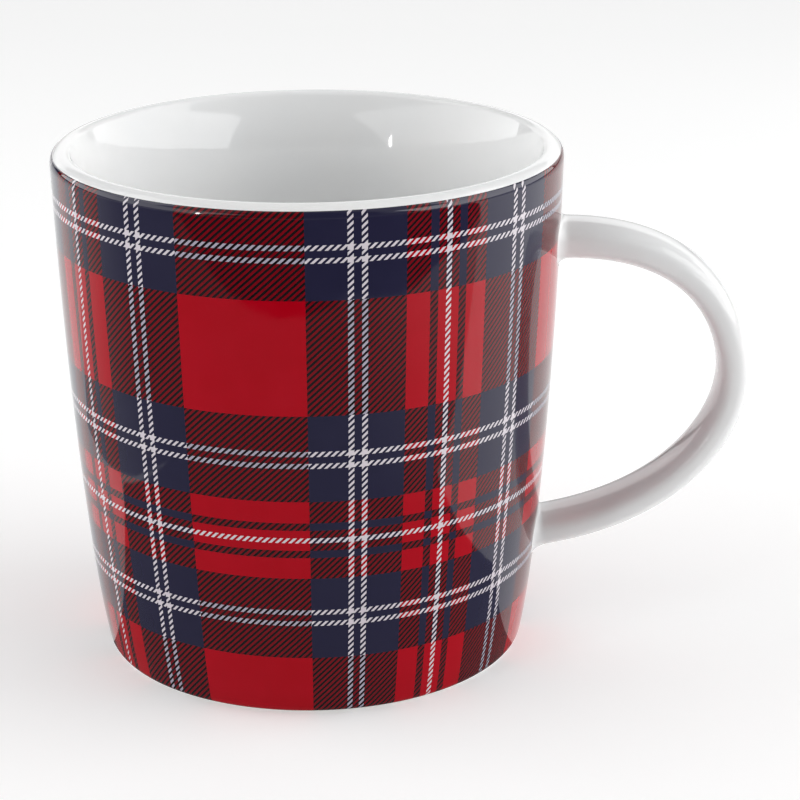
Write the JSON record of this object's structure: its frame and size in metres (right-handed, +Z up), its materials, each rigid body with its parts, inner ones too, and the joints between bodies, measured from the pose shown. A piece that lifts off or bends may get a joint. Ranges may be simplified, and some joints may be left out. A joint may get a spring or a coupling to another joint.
{
  "type": "coffee mug",
  "caption": "Slightly tapered glazed mug on a foot ring, with a rounded lip, a strap handle on its right side and a fired red, navy and white check print all round the outside.",
  "frame": {"origin": "centre of the foot ring, in the plane of the table it stands on", "axes": "+Z up along the cup's axis, +X from the axis out through the middle of the handle"},
  "size_m": [0.1241, 0.0902, 0.0925],
  "materials": {
    "cup_glaze": "clear gloss glaze over a white body, bare on the foot ring",
    "handle_glaze": "clear gloss glaze over a white body",
    "slip_glaze": "clear gloss glaze over luting slip",
    "tartan_print": "gloss overglaze transfer: red and navy check with white lines"
  },
  "bodies": {
    "root": {"cup_body": "cup_glaze", "handle": "handle_glaze", "upper_slip_joint": "slip_glaze", "lower_slip_joint": "slip_glaze", "tartan_transfer": "tartan_print"}
  },
  "joints": []
}
